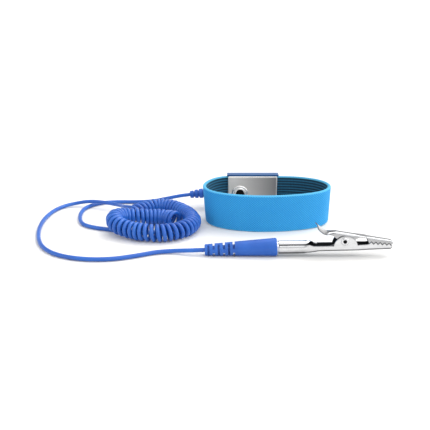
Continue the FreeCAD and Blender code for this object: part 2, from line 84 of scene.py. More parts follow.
COIL = [
    (-74.0, -2.8, CZ), (-69.9, 4.0, CZ), (-64.2, 9.8, CZ), (-57.2, 10.9, CZ), (-50.6, 6.2, CZ), (-45.4, -1.2, CZ),
    (-41.6, -9.4, CZ), (-40.2, -17.6, CZ), (-42.2, -25.0, CZ), (-47.0, -31.2, CZ), (-54.4, -34.9, CZ), (-63.2, -34.4, CZ),
    (-72.2, -31.2, 5.0), (-79.2, -26.6, 6.0), (-81.7, -21.4, 7.1), (-80.9, -15.9, 7.1), (-77.0, -12.1, 6.3),
    (-70.2, -10.6, 5.3), (-62.4, -9.4, CZ), (-54.6, -9.6, CZ), (-50.2, -14.6, CZ)]
CLIP_LEAD = [
    (-74.0, -2.8, 8.2), (-78.3, -0.2, 7.7), (-80.8, 7.0, 5.9), (-85.2, 14.8, 4.3), (-92.9, 20.6, 3.9), (-102.5, 24.1, 3.7),
    (-111.7, 25.2, 1.9), (-118.3, 21.5, F), (-121.7, 12.6, F), (-123.4, -0.6, F), (-122.4, -16.2, F), (-119.1, -32.0, F),
    (-113.4, -46.2, F), (-104.2, -56.2, F), (-91.6, -61.4, F), (-78.2, -61.8, F), (-66.9, -57.5, F), (-57.3, -52.2, F),
    (-48.4, -51.2, 1.4), (BOOT_X0 - 6.6, BOOT_Y, BOOT_Z0 - 6.6 * math.tan(BOOT_A)), (BOOT_X0, BOOT_Y, BOOT_Z0)]


def spline_points(name, pts, res=24):
    # the smooth line of a route: a NURBS spline with the route's points as its control points
    cu = bpy.data.curves.new(name, "CURVE")
    cu.dimensions = "3D"
    sp = cu.splines.new("NURBS")
    sp.points.add(len(pts) - 1)
    for k, p in enumerate(pts):
        v = P(*p)
        sp.points[k].co = (v.x, v.y, v.z, 1.0)
    sp.order_u = 3
    sp.use_endpoint_u = True
    sp.resolution_u = res
    ob = bpy.data.objects.new(name, cu)
    bpy.context.scene.collection.objects.link(ob)
    bpy.context.view_layer.update()
    me = bpy.data.meshes.new_from_object(ob)
    line = [v.co.copy() for v in me.vertices]
    bpy.data.objects.remove(ob)
    bpy.data.meshes.remove(me)
    out = [line[0]]
    for p in line[1:]:
        if (p - out[-1]).length > 2e-5:
            out.append(p)
    return out


def new_object(name, bm, smooth=True, mat=None):
    me = bpy.data.meshes.new(name)
    bm.to_mesh(me)
    bm.free()
    ob = bpy.data.objects.new(name, me)
    bpy.context.scene.collection.objects.link(ob)
    if smooth:
        for f in me.polygons:
            f.use_smooth = True
    if mat:
        me.materials.append(mat)
    return ob


def tube(name, line, radius, segs=14, mat=None, cap=True):
    # a round tube along a line of points, with domed ends; uv: x along the cord in metres, y round it
    bm = bmesh.new()
    uv = bm.loops.layers.uv.new("along")
    n = len(line)
    tang = []
    for k in range(n):
        a, b = line[max(k - 1, 0)], line[min(k + 1, n - 1)]
        tang.append((b - a).normalized())
    t = tang[0]
    ref = Vector((0, 0, 1)) if abs(t.z) < 0.9 else Vector((1, 0, 0))
    nrm = (ref - t * ref.dot(t)).normalized()
    stations = []
    if cap:
        for a in (80, 50, 25):
            stations.append((line[0] - tang[0] * radius * math.sin(math.radians(a)) * 0.6, tang[0], radius * math.cos(math.radians(a))))
    for k in range(n):
        stations.append((line[k], tang[k], radius))
    if cap:
        for a in (25, 50, 80):
            stations.append((line[-1] + tang[-1] * radius * math.sin(math.radians(a)) * 0.6, tang[-1], radius * math.cos(math.radians(a))))
    rings, dist, prev = [], [], None
    s = 0.0
    for p, t, r in stations:
        nrm = (nrm - t * nrm.dot(t)).normalized()
        bi = t.cross(nrm)
        if prev is not None:
            s += (p - prev).length
        prev = p
        dist.append(s)
        rings.append([bm.verts.new(p + (nrm * math.cos(2 * math.pi * j / segs) + bi * math.sin(2 * math.pi * j / segs)) * r) for j in range(segs)])
    for k in range(len(rings) - 1):
        for j in range(segs):
            j2 = (j + 1) % segs
            f = bm.faces.new((rings[k][j], rings[k][j2], rings[k + 1][j2], rings[k + 1][j]))
            vals = ((dist[k], j / segs), (dist[k], (j + 1) / segs), (dist[k + 1], (j + 1) / segs), (dist[k + 1], j / segs))
            for loop, v in zip(f.loops, vals):
                loop[uv].uv = v
    bm.faces.new(list(reversed(rings[0])))
    bm.faces.new(rings[-1])
    bmesh.ops.recalc_face_normals(bm, faces=bm.faces)
    return new_object(name, bm, True, mat)


def length_of(line):
    return sum((line[k + 1] - line[k]).length for k in range(len(line) - 1))


# ------------------------------------------------------------------ materials
def lin(c):
    return tuple((x / 255 / 12.92) if x / 255 <= 0.04045 else ((x / 255 + 0.055) / 1.055) ** 2.4 for x in c)


class Nodes:
    def __init__(self, name):
        self.mat = bpy.data.materials.new(name)
        self.mat.use_nodes = True
        self.nt = self.mat.node_tree
        self.nt.nodes.clear()
        self.out = self.add("ShaderNodeOutputMaterial")
        self.b = self.add("ShaderNodeBsdfPrincipled")
        self.link(self.b.outputs[0], self.out.inputs[0])

    def add(self, kind, **props):
        n = self.nt.nodes.new(kind)
        for k, v in props.items():
            setattr(n, k, v)
        return n

    def link(self, a, b):
        self.nt.links.new(a, b)

    def set(self, **kw):
        for k, v in kw.items():
            self.b.inputs[k.replace("_", " ")].default_value = v

    def coords(self, kind="Object", scale=(1, 1, 1), rot=(0, 0, 0)):
        tc = self.add("ShaderNodeTexCoord")
        mp = self.add("ShaderNodeMapping")
        mp.inputs["Scale"].default_value = scale
        mp.inputs["Rotation"].default_value = rot
        self.link(tc.outputs[kind], mp.inputs["Vector"])
        return mp.outputs[0]

    def noise(self, vec, scale, detail=4.0, rough=0.55, dist=0.0):
        n = self.add("ShaderNodeTexNoise")
        n.inputs["Scale"].default_value = scale
        n.inputs["Detail"].default_value = detail
        n.inputs["Roughness"].default_value = rough
        n.inputs["Distortion"].default_value = dist
        self.link(vec, n.inputs["Vector"])
        return n.outputs["Fac"]

    def ramp(self, fac, stops):
        r = self.add("ShaderNodeValToRGB")
        els = r.color_ramp.elements
        while len(els) < len(stops):
            els.new(0.5)
        for e, (pos, col) in zip(els, stops):
            e.position = pos
            e.color = (*col, 1.0) if len(col) == 3 else col
        self.link(fac, r.inputs[0])
        return r.outputs[0]

    def rng(self, fac, a, b, c, d):
        m = self.add("ShaderNodeMapRange")
        m.inputs["From Min"].default_value = a
        m.inputs["From Max"].default_value = b
        m.inputs["To Min"].default_value = c
        m.inputs["To Max"].default_value = d
        self.link(fac, m.inputs["Value"])
        return m.outputs["Result"]

    def math(self, op, a, b=None, c=None):
        m = self.add("ShaderNodeMath", operation=op)
        for k, v in enumerate((a, b, c)):
            if v is None:
                continue
            if isinstance(v, (int, float)):
                m.inputs[k].default_value = v
            else:
                self.link(v, m.inputs[k])
        return m.outputs[0]

    def mix(self, fac, a, b, mode="MIX"):
        m = self.add("ShaderNodeMix", data_type="RGBA", blend_type=mode)
        for sock, v in ((m.inputs[0], fac), (m.inputs[6], a), (m.inputs[7], b)):
            if isinstance(v, (int, float)):
                sock.default_value = v
            elif isinstance(v, tuple):
                sock.default_value = (*v, 1.0) if len(v) == 3 else v
            else:
                self.link(v, sock)
        return m.outputs[2]

    def bump(self, height, strength, dist, normal=None):
        b = self.add("ShaderNodeBump")
        b.inputs["Strength"].default_value = strength
        b.inputs["Distance"].default_value = dist
        self.link(height, b.inputs["Height"])
        if normal is not None:
            self.link(normal, b.inputs["Normal"])
        return b.outputs[0]

    def round_edges(self, radius):
        b = self.add("ShaderNodeBevel", samples=6)
        b.inputs["Radius"].default_value = radius
        return b.outputs[0]


def m_cord():
    m = Nodes("cord_jacket")
    v = m.coords()
    big = m.noise(v, 60, 3)
    fine = m.noise(v, 2600, 3, 0.6)
    scuff = m.noise(m.coords(scale=(1, 1, 1)), 900, 5, 0.7)
    col = m.mix(m.rng(big, 0.35, 0.7, 0, 1), lin((22, 84, 174)), lin((34, 100, 190)))
    col = m.mix(m.rng(scuff, 0.62, 0.8, 0, 0.35), col, lin((90, 144, 220)))
    m.link(col, m.b.inputs["Base Color"])
    m.link(m.rng(m.noise(v, 420, 4), 0.3, 0.7, 0.30, 0.46), m.b.inputs["Roughness"])
    m.link(m.bump(fine, 0.25, 0.00003), m.b.inputs["Normal"])
    m.set(Specular_IOR_Level=0.5, Subsurface_Weight=0.05, Coat_Weight=0.06, Coat_Roughness=0.25)
    m.b.inputs["Subsurface Radius"].default_value = (0.0003, 0.0005, 0.0010)
    return m.mat


def m_pvc(name, a, b, rough=(0.38, 0.5)):
    m = Nodes(name)
    v = m.coords()
    big = m.noise(v, 90, 3)
    fine = m.noise(v, 3000, 3, 0.6)
    mid = m.noise(v, 700, 4)
    geo = m.add("ShaderNodeNewGeometry")
    worn = m.rng(geo.outputs["Pointiness"], 0.52, 0.62, 0, 0.30)
    col = m.mix(m.rng(big, 0.3, 0.7, 0, 1), lin(a), lin(b))
    light = tuple(min(255, c + 46) for c in b)
    m.link(m.mix(m.math("MULTIPLY", worn, m.rng(mid, 0.3, 0.7, 0.4, 1.0)), col, lin(light)), m.b.inputs["Base Color"])
    m.link(m.rng(mid, 0.3, 0.7, rough[0], rough[1]), m.b.inputs["Roughness"])
    m.link(m.bump(fine, 0.35, 0.00004, m.round_edges(0.00018)), m.b.inputs["Normal"])
    m.set(Specular_IOR_Level=0.45, Subsurface_Weight=0.04)
    m.b.inputs["Subsurface Radius"].default_value = (0.0003, 0.0005, 0.0010)
    return m.mat


def m_nickel(name, base=(214, 215, 217), rough=(0.10, 0.22), edge=0.00012, painted_reflection_shade=False):
    m = Nodes(name)
    v = m.coords()
    smear = m.noise(m.coords(scale=(1, 3, 3)), 260, 5, 0.6)
    fine = m.noise(v, 2200, 3, 0.6)
    wave = m.noise(v, 150, 2, 0.4)
    col = m.mix(m.rng(smear, 0.35, 0.75, 0, 0.5), lin(base), lin(tuple(c * 0.84 for c in base)))
    if painted_reflection_shade:
        # painted shade and dark reflection: the colour goes dark along the bends and the shear lines
        t = m.add("ShaderNodeAttribute", attribute_name="painted_reflection_shade").outputs["Fac"]
        col = m.mix(m.math("MULTIPLY", t, m.rng(smear, 0.2, 0.8, 0.85, 1.0)), col, lin((74, 75, 78)))
    m.link(col, m.b.inputs["Base Color"])
    m.link(m.rng(smear, 0.3, 0.75, rough[0], rough[1]), m.b.inputs["Roughness"])
    n1 = m.bump(wave, 0.18, 0.0003, m.round_edges(edge))
    m.link(m.bump(fine, 0.1, 0.00002, n1), m.b.inputs["Normal"])
    m.set(Metallic=1.0)
    return m.mat


def m_brushed(name, c0, c1, axis=(8, 1, 900), rough=(0.26, 0.42), painted_shade_ramp=None):
    m = Nodes(name)
    v = m.coords(scale=axis)
    lines = m.noise(v, 14, 6, 0.75)
    soft = m.noise(m.coords(), 45, 2)
    col = m.mix(m.rng(lines, 0.3, 0.7, 0, 1), lin(c0), lin(c1))
    if painted_shade_ramp is not None:
        # painted shade: the sheet is a little darker towards one end
        tc = m.add("ShaderNodeTexCoord")
        sep = m.add("ShaderNodeSeparateXYZ")
        m.link(tc.outputs["Object"], sep.inputs[0])
        col = m.mix(m.rng(sep.outputs[0], painted_shade_ramp[0], painted_shade_ramp[1], 0, 1), col, lin(painted_shade_ramp[2]))
    if painted_shade_ramp is not None:
        # burnished border, lightened to near white as a painted highlight, where the rounded edge turns away from the
        # face
        bv = m.add("ShaderNodeBevel", samples=8)
        bv.inputs["Radius"].default_value = 0.0009
        geo = m.add("ShaderNodeNewGeometry")
        dot = m.add("ShaderNodeVectorMath", operation="DOT_PRODUCT")
        m.link(bv.outputs[0], dot.inputs[0])
        m.link(geo.outputs["Normal"], dot.inputs[1])
        col = m.mix(m.rng(dot.outputs["Value"], 0.93, 0.999, 1.0, 0.0), col, lin((252, 252, 252)))
    m.link(col, m.b.inputs["Base Color"])
    m.link(m.rng(lines, 0.25, 0.75, rough[0], rough[1]), m.b.inputs["Roughness"])
    n1 = m.bump(lines, 0.16, 0.00003, m.round_edges(0.00015))
    m.link(m.bump(soft, 0.05, 0.0004, n1), m.b.inputs["Normal"])
    m.set(Metallic=1.0 if painted_shade_ramp is None else 0.32, Anisotropic=0.5)
    return m.mat


def m_resistor():
    m = Nodes("resistor_lacquer")
    tc = m.add("ShaderNodeTexCoord")
    sep = m.add("ShaderNodeSeparateXYZ")
    m.link(tc.outputs["Object"], sep.inputs[0])
    band = m.math("FRACT", m.math("MULTIPLY", sep.outputs[0], 760.0))
    col = m.ramp(band, [(0.0, lin((196, 168, 116))), (0.62, lin((196, 168, 116))), (0.66, lin((120, 62, 34))), (0.8, lin((120, 62, 34))), (0.84, lin((196, 168, 116)))])
    m.link(col, m.b.inputs["Base Color"])
    m.link(m.rng(m.noise(m.coords(), 900, 3), 0.3, 0.7, 0.25, 0.4), m.b.inputs["Roughness"])
    return m.mat


def m_band():
    # woven elastic: uv runs along the band (x) and across it (y), in millimetres; vertex attributes: "skin" is 1 on the
    # inside, "rim" is 1 on the selvedges, "float" is how far the yarn stands out at that point
    m = Nodes("elastic_weave")
    uvn = m.add("ShaderNodeUVMap", uv_map="weave")
    skin = m.add("ShaderNodeAttribute", attribute_name="skin").outputs["Fac"]
    rim = m.add("ShaderNodeAttribute", attribute_name="rim").outputs["Fac"]
    relief_shade = m.add("ShaderNodeAttribute", attribute_name="float").outputs["Fac"]
    sep = m.add("ShaderNodeSeparateXYZ")
    m.link(uvn.outputs[0], sep.inputs[0])
    u, v = sep.outputs[0], sep.outputs[1]
    wob = m.noise(uvn.outputs[0], 1.3, 3)
    uu = m.math("ADD", u, m.math("MULTIPLY", m.math("SUBTRACT", wob, 0.5), 0.2))
    # single yarns inside each float
    yarn = m.math("SINE", m.math("ADD", m.math("MULTIPLY", uu, 2 * math.pi / 0.31), m.math("MULTIPLY", v, 2 * math.pi / 0.52)))
    fib = m.noise(m.coords("UV", scale=(3, 14, 1)), 3.0, 4, 0.65)
    patch = m.noise(uvn.outputs[0], 0.12, 2)
    # the weave's colour follows its relief: darker where the yarn sinks, painted shade in the low places
    outc = m.mix(relief_shade, lin((0, 66, 150)), lin((26, 170, 234)))
    outc = m.mix(m.rng(yarn, -1, 1, 0.0, 0.28), outc, lin((84, 186, 240)))
    outc = m.mix(m.rng(fib, 0.3, 0.75, 0.0, 0.22), outc, lin((110, 204, 246)))
    outc = m.mix(m.rng(patch, 0.3, 0.7, 0.0, 0.18), outc, lin((30, 128, 204)))
    # inside: dark rows with paler ribs running along the band, darker in the grooves as painted shade
    cross = m.math("SINE", m.math("MULTIPLY", uu, 2 * math.pi / 0.8))
    rib01 = m.rng(m.math("ADD", relief_shade, m.math("MULTIPLY", cross, 0.10)), 0.25, 1.05, 0, 1)
    inc = m.mix(rib01, lin((2, 24, 42)), lin((38, 108, 148)))
    inc = m.mix(m.rng(fib, 0.35, 0.8, 0.0, 0.25), inc, lin((60, 132, 160)))
    col = m.mix(skin, outc, inc)
    col = m.mix(m.math("MULTIPLY", rim, 0.65), col, lin((92, 182, 222)))
    m.link(col, m.b.inputs["Base Color"])
    m.link(m.bump(m.math("ADD", m.math("MULTIPLY", yarn, 0.25), fib), 0.35, 0.00006), m.b.inputs["Normal"])
    m.link(m.rng(fib, 0.3, 0.7, 0.66, 0.86), m.b.inputs["Roughness"])
    m.set(Sheen_Weight=0.18, Sheen_Roughness=0.5, Specular_IOR_Level=0.2)
    m.b.inputs["Sheen Tint"].default_value = (*lin((150, 220, 255)), 1.0)
    return m.mat


def m_floor():
    m = Nodes("studio_floor")
    m.link(m.mix(m.noise(m.coords(), 3.0, 2), (0.80, 0.791, 0.777), (0.815, 0.806, 0.792)), m.b.inputs["Base Color"])
    m.set(Roughness=0.75, Specular_IOR_Level=0.15)
    return m.mat


CORD = m_cord()
PVC = m_pvc("boot_pvc", (22, 80, 168), (32, 94, 184))
CLASP = m_pvc("clasp_plastic", (22, 66, 120), (34, 82, 136), (0.32, 0.46))
NICKEL = m_nickel("nickel", painted_reflection_shade=True)
# the same nickel made dark and rougher for the inner faces of the pressed sheets: painted shade inside the channel
NICKEL_INSIDE_SHADED = m_nickel("nickel_inside_shaded", (92, 94, 98), (0.34, 0.5))
CUT_EDGE = m_nickel("cut_edge", (128, 130, 134), (0.3, 0.45))
# the same nickel made darker for the upper jaw: painted shade
NICKEL_UPPER_SHADED = m_nickel("nickel_upper_shaded", (176, 177, 179), painted_reflection_shade=True)
RIVET = m_nickel("rivet_nickel", (214, 215, 217), (0.12, 0.24))
EYELET = m_nickel("eyelet_nickel", (236, 236, 236), (0.16, 0.3))
EYELET.node_tree.nodes["Principled BSDF"].inputs["Metallic"].default_value = 0.7
# painted shade: a near-black, non-metal colour for the deep bores and their closed ends
BORE_SHADE = m_nickel("bore_shade_paint", (12, 11, 11), (0.5, 0.7))
BORE_SHADE.node_tree.nodes["Principled BSDF"].inputs["Metallic"].default_value = 0.0
BORE_SHADE.node_tree.nodes["Principled BSDF"].inputs["Specular IOR Level"].default_value = 0.15
PLATED = m_nickel("plated_stud", (222, 222, 222), (0.1, 0.22))
STEEL = m_brushed("brushed_plate", (224, 218, 212), (250, 246, 241), painted_shade_ramp=(-0.017, 0.007, (140, 138, 139)))
WIRE = m_brushed("spring_wire", (120, 122, 126), (176, 178, 182), (1, 1, 1), (0.25, 0.4))
RESIST = m_resistor()
BAND = m_band()

# ------------------------------------------------------------------ cords
clip_line = spline_points("route_clip", CLIP_LEAD)
wrist_line = spline_points("route_wrist", WRIST_LEAD)
coil_line = spline_points("route_coil", COIL, 40)


def helix(line, radius, pitch, start, end, per_turn=32):
    # a right-handed winding round the coil's own centre line, from one angle to another
    cum = [0.0]
    for k in range(len(line) - 1):
        cum.append(cum[-1] + (line[k + 1] - line[k]).length)
    total = cum[-1]

    def at(s):
        s = min(max(s, 0.0), total)
        lo, hi = 0, len(cum) - 1
        while hi - lo > 1:
            mid = (lo + hi) // 2
            if cum[mid] <= s:
                lo = mid
            else:
                hi = mid
        f = (s - cum[lo]) / max(cum[hi] - cum[lo], 1e-12)
        return line[lo].lerp(line[hi], f)

    def frame_at(s):
        t = (at(s + 0.0012) - at(s - 0.0012)).normalized()
        n = Vector((0, 0, 1)).cross(t).normalized()
        return at(s), t, n, t.cross(n)

    # how tightly the turns sit along the coil, uneven as the real one
    def local(s):
        w = 1.0 + 0.07 * math.sin(s * 190.0 + 0.6) + 0.05 * math.sin(s * 431.0 + 2.1)
        loose = 0.62 * math.exp(-s / 0.0065)                       # the first turns pulled open by the lead
        gap = 0.20 * math.exp(-((s - 0.0875) / 0.0035) ** 2)         # a wider place at the front
        tight = 0.20 * math.exp(-(s - total + 0.009) ** 2 / (2 * 0.008 ** 2))
        last = 0.35 * math.exp(-((total - s) / 0.0030) ** 2)       # the last turn stands off a little
        return pitch * (w + loose + gap - tight + last)

    steps = 4000
    ds = total / steps
    phase, acc = [0.0], 0.0
    for k in range(steps):
        acc += ds / local((k + 0.5) * ds)
        phase.append(acc)
    frac = ((end - start) / 360.0) % 1.0
    turns = round(acc - frac) + frac
    k_scale = turns / acc
    out = []
    n = int(turns * per_turn)
    j = 0
    for i in range(n + 1):
        want = turns * i / n / k_scale
        while j < steps - 1 and phase[j + 1] < want:
            j += 1
        f = (want - phase[j]) / max(phase[j + 1] - phase[j], 1e-12)
        s = (j + min(max(f, 0), 1)) * ds
        p, t, nn, uu = frame_at(s)
        a = math.radians(start) + 2 * math.pi * turns * i / n
        wob = 0.00006 * math.sin(i * 0.043) + 0.00004 * math.sin(i * 0.117 + 1.0)
        r = radius * (1.0 + 0.20 * math.sin(math.pi * min(max((total - s) / 0.0042, 0.0), 1.0))) + wob
        out.append(p + (nn * math.cos(a) + uu * math.sin(a)) * r)
    return out, turns


HEL_R = (COIL_D - CORD_D) / 2 * MM
coil_pts, turns = helix(coil_line, HEL_R, 2.66 * MM, 90.0, 180.0)
LOWEST = (CORD_D / 2 + 0.02) * MM
coil_pts = [Vector((p.x, p.y, max(p.z, LOWEST))) for p in coil_pts]
cord_clip = tube("cord_to_clip", clip_line, CORD_D / 2 * MM, 16, CORD)
cord_wrist = tube("cord_to_wrist", wrist_line, CORD_D / 2 * MM, 16, CORD)
cord_coil = tube("curly_cord", coil_pts, CORD_D / 2 * MM, 12, CORD)
print("cord lengths mm: clip %.1f wrist %.1f curly %.1f turns %.1f" % (length_of(clip_line) * 1000, length_of(wrist_line) * 1000, length_of(coil_pts) * 1000, turns))

for ob, node in ((cord_clip, "lead_to_clip"), (cord_coil, "cord_coil")):
    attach(ob, "cord_set")
    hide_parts(node)
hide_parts("lead_to_wrist")
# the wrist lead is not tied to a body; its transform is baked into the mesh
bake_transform(cord_wrist)

# ------------------------------------------------------------------ elastic band
BAND_LINE = [
    (-9.0, 16.1), (-13.0, 16.1), (-17.0, 16.1), (-21.0, 16.08), (-24.0, 15.4), (-26.8, 13.7), (-29.6, 10.8), (-32.2, 6.2),
    (-33.7, 0.6), (-33.2, -5.0), (-30.4, -9.8), (-26.0, -13.2), (-20.4, -15.9), (-10.8, -18.4),
    (0.0, -18.95), (11.0, -17.4), (21.0, -14.3), (27.8, -10.2), (31.6, -5.2), (32.7, -0.4),
    (31.6, 4.6), (28.4, 9.2), (23.6, 12.6), (18.6, 14.7), (13.6, 15.75), (9.0, 16.08), (5.0, 16.1), (1.0, 16.1), (-3.6, 16.1)]
BAND_W, BAND_T, BAND_RISE = 20.0, 1.8, 0.0275


def cubic_through(pts, step):
    # natural cubic through the points, by chord length, sampled evenly
    t = [0.0]
    for a, b in zip(pts, pts[1:]):
        t.append(t[-1] + math.dist(a, b))
    n = len(pts)
    res = []
    for ax in (0, 1):
        y = [p[ax] for p in pts]
        h = [t[i + 1] - t[i] for i in range(n - 1)]
        al = [0.0] + [3 * ((y[i + 1] - y[i]) / h[i] - (y[i] - y[i - 1]) / h[i - 1]) for i in range(1, n - 1)]
        l, mu, z = [1.0], [0.0], [0.0]
        for i in range(1, n - 1):
            l.append(2 * (t[i + 1] - t[i - 1]) - h[i - 1] * mu[i - 1])
            mu.append(h[i] / l[i])
            z.append((al[i] - h[i - 1] * z[i - 1]) / l[i])
        c = [0.0] * n
        b, d = [0.0] * n, [0.0] * n
        for j in range(n - 2, -1, -1):
            c[j] = z[j] - mu[j] * c[j + 1]
            b[j] = (y[j + 1] - y[j]) / h[j] - h[j] * (c[j + 1] + 2 * c[j]) / 3
            d[j] = (c[j + 1] - c[j]) / (3 * h[j])
        res.append((y, b, c, d))
    out = []
    m = int(t[-1] / step)
    for k in range(m + 1):
        s = t[-1] * k / m
        i = 0
        while i < n - 2 and s > t[i + 1]:
            i += 1
        x = s - t[i]
        out.append(tuple(y[i] + b[i] * x + c[i] * x * x + d[i] * x ** 3 for y, b, c, d in res))
    return out


def smooth_step(x, a, b):
    t = min(max((x - a) / (b - a), 0.0), 1.0)
    return t * t * (3 - 2 * t)


def elastic_band():
    line = cubic_through(BAND_LINE, 0.32)
    bm = bmesh.new()
    uv = bm.loops.layers.uv.new("weave")
    skin = bm.verts.layers.float.new("skin")
    rim = bm.verts.layers.float.new("rim")
    flt = bm.verts.layers.float.new("float")
    # cross-section: (offset outwards, height), round selvedges, ribs on the skin side
    prof = []
    T, W, R = BAND_T / 2, BAND_W, 0.85
    nv = 60
    for k in range(nv + 1):
        h = R + (W - 2 * R) * k / nv
        prof.append((T - 0.03, h, 0.0, 0.0))
    for a in (15, 35, 60, 90, 120, 145, 165):
        r = math.radians(a)
        prof.append((T * math.cos(r), W - R + R * math.sin(r), 1.0 if a > 115 else 0.0, 1.0))
    ni = 50
    for k in range(ni, -1, -1):
        h = R + (W - 2 * R) * k / ni
        prof.append((-T + 0.07, h, 1.0, 0.0))
    for a in (195, 215, 240, 270, 300, 325, 345):
        r = math.radians(a)
        prof.append((T * math.cos(r), R + R * math.sin(r), 1.0 if a < 245 else 0.0, 1.0))
    m = len(prof)
    rings, dist, s = [], [], 0.0
    for i, (x, y) in enumerate(line):
        a, b = line[max(i - 1, 0)], line[min(i + 1, len(line) - 1)]
        tx, ty = b[0] - a[0], b[1] - a[1]
        L = math.hypot(tx, ty)
        nx, ny = -ty / L, tx / L          # outwards (the line runs round with the inside on its left)
        if i:
            s += math.dist(line[i - 1], line[i])
        dist.append(s)
        soft = 0.06 * noise.noise(Vector((s * 0.11, 3.0, 0.0)))
        edge = 0.035 * math.sin(2 * math.pi * s / 1.15)
        # the band leans a little: out at the top right, in at the bottom left
        rt, lt, fr = max(0.0, x / 32.0) ** 2, max(0.0, -x / 32.0) ** 2, smooth_step(-y, 2.0, 17.0)
        lean = 0.030 * rt + 0.070 * lt
        push = 0.60 * rt - 0.10 * lt + 0.95 * fr
        ring = []
        for off, h, sk, rm in prof:
            o = off + soft * math.sin(math.pi * h / W) + 0.02 * noise.noise(Vector((s * 0.5, h * 0.5, 1.0)))
            if rm == 0.0 and sk == 0.0:
                # twill: raised floats stepping diagonally across the band, broken into short stitches
                d1 = math.sin(2 * math.pi * (s / 1.32 + h / 1.22))
                d2 = math.sin(2 * math.pi * (s / 1.32 - h / 1.22))
                f = min(1.0, max(0.0, 0.5 + 0.40 * d1 + 0.24 * d2))
                f = f * f * (3 - 2 * f)
                o += 0.20 * (f - 0.5)
            elif rm == 0.0:
                # skin side: rubber ribs along the band
                f = 0.5 + 0.5 * math.sin(2 * math.pi * (h - 0.4) / 1.55)
                f = f * f * (3 - 2 * f)
                o -= 0.16 * (f - 0.3)
                f = f * (0.86 + 0.14 * math.sin(2 * math.pi * s / 0.9))
            else:
                f = 0.5 + 0.5 * math.sin(2 * math.pi * s / 1.15)
                o += (0.03 if sk == 0.0 else -0.03) * (f - 0.5)
            o += lean * (h - W / 2) + push
            px, py = x - nx * o, y - ny * o
            hh = h + (edge if rm else 0.0) * (1 if h > W / 2 else -0.3)
            v = bm.verts.new(P(px, py, max(hh, 0.0) + BAND_RISE * (py + 20.1) + 0.004))
            v[skin] = sk
            v[rim] = rm
            v[flt] = f
            ring.append(v)
        rings.append(ring)
    for i in range(len(rings) - 1):
        for j in range(m):
            j2 = (j + 1) % m
            f = bm.faces.new((rings[i][j], rings[i + 1][j], rings[i + 1][j2], rings[i][j2]))
            hs = (prof[j][1], prof[j][1], prof[j2][1], prof[j2][1])
            us = (dist[i], dist[i + 1], dist[i + 1], dist[i])
            for loop, a, b in zip(f.loops, us, hs):
                loop[uv].uv = (a, b)
    bm.faces.new(rings[0])
    bm.faces.new(list(reversed(rings[-1])))
    bmesh.ops.recalc_face_normals(bm, faces=bm.faces)
    return new_object("elastic_band_woven", bm, True, BAND), s


band, band_len = elastic_band()
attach(band, "wristband")
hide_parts("elastic_band")
print("band length", band_len)

# ------------------------------------------------------------------ crocodile clip: pressed sheet metal
CLIP_X0, CLIP_Z0, CLIP_TILT = 1.7, 4.15, math.radians(0.8)
SHEET = 0.5


def C(s, y, h):
    # the clip's own frame: s along it, y across it, h up
    c, q = math.cos(CLIP_TILT), math.sin(CLIP_TILT)
    return P(CLIP_X0 + s * c - h * q, BOOT_Y + y, CLIP_Z0 + s * q + h * c)


def at(table, s):
    if s <= table[0][0]:
        return table[0][1]
    for (a, u), (b, v) in zip(table, table[1:]):
        if s <= b:
            return u + (v - u) * (s - a) / (b - a)
    return table[-1][1]


def smooth(x, a, b):
    t = min(max((x - a) / (b - a), 0.0), 1.0)
    return t * t * (3 - 2 * t)


def sheet_part(name, rows, mat, shade_paint=None):
    # rows of points make one skin; the sheet's thickness goes inwards from it
    bm = bmesh.new()
    # per-point painted shade and dark reflection for the metal's colour, kept as a vertex attribute
    painted_shade_layer = bm.verts.layers.float.new("painted_reflection_shade")
    vs = [[bm.verts.new(p) for p in r] for r in rows]
    n = len(vs[0])
    for i in range(len(vs)):
        for j in range(n):
            vs[i][j][painted_shade_layer] = shade_paint[i][j] if shade_paint else 0.0
    for i in range(len(vs) - 1):
        for j in range(n - 1):
            bm.faces.new((vs[i][j], vs[i + 1][j], vs[i + 1][j + 1], vs[i][j + 1]))
    bmesh.ops.recalc_face_normals(bm, faces=bm.faces)
    ob = new_object(name, bm, True, mat)
    return ob


def solidify(ob, thick, offset=-1.0, inside=None, back=None):
    # outward = away from the sheet's own inside point; flip the skin when it points the other way
    me = ob.data
    if inside is not None:
        votes = 0.0
        for f in me.polygons:
            votes += f.normal.dot(f.center - inside(f.center)) * f.area
        if votes < 0:
            me.flip_normals()
    md = ob.modifiers.new("sheet", "SOLIDIFY")
    md.thickness = thick * MM
    md.offset = offset
    md.use_even_offset = True
    md.use_quality_normals = True
    md.thickness_clamp = 0.0
    if back is not None:
        me.materials.append(back)
        me.materials.append(CUT_EDGE)
        md.material_offset = 1
        md.material_offset_rim = 2
    bpy.context.view_layer.update()
    dg = bpy.context.evaluated_depsgraph_get()
    new = bpy.data.meshes.new_from_object(ob.evaluated_get(dg))
    ob.modifiers.clear()
    ob.data = new
    for f in new.polygons:
        f.use_smooth = True
    new.set_sharp_from_angle(angle=math.radians(38))
    return ob


def unclip(v):
    # world point back to the clip's own s and h
    c, q = math.cos(CLIP_TILT), math.sin(CLIP_TILT)
    x, z = v.x / MM - OX - CLIP_X0, v.z / MM - CLIP_Z0
    return x * c + z * q, -x * q + z * c


N_T, T0, T1 = 5, 42.6, 53.2
TEETH = []
for k in range(N_T):
    a0 = T0 + (T1 - T0) * k / N_T
    a1 = T0 + (T1 - T0) * (k + 1) / N_T
    TEETH += [(a0, -0.55), ((a0 + a1) / 2, 0.55)]
TEETH.append((T1, -0.55))
GAP = 0.17


def tooth_mid(s):
    return 2.5 + (1.3 - 2.5) * (s - T0) / (T1 - T0)


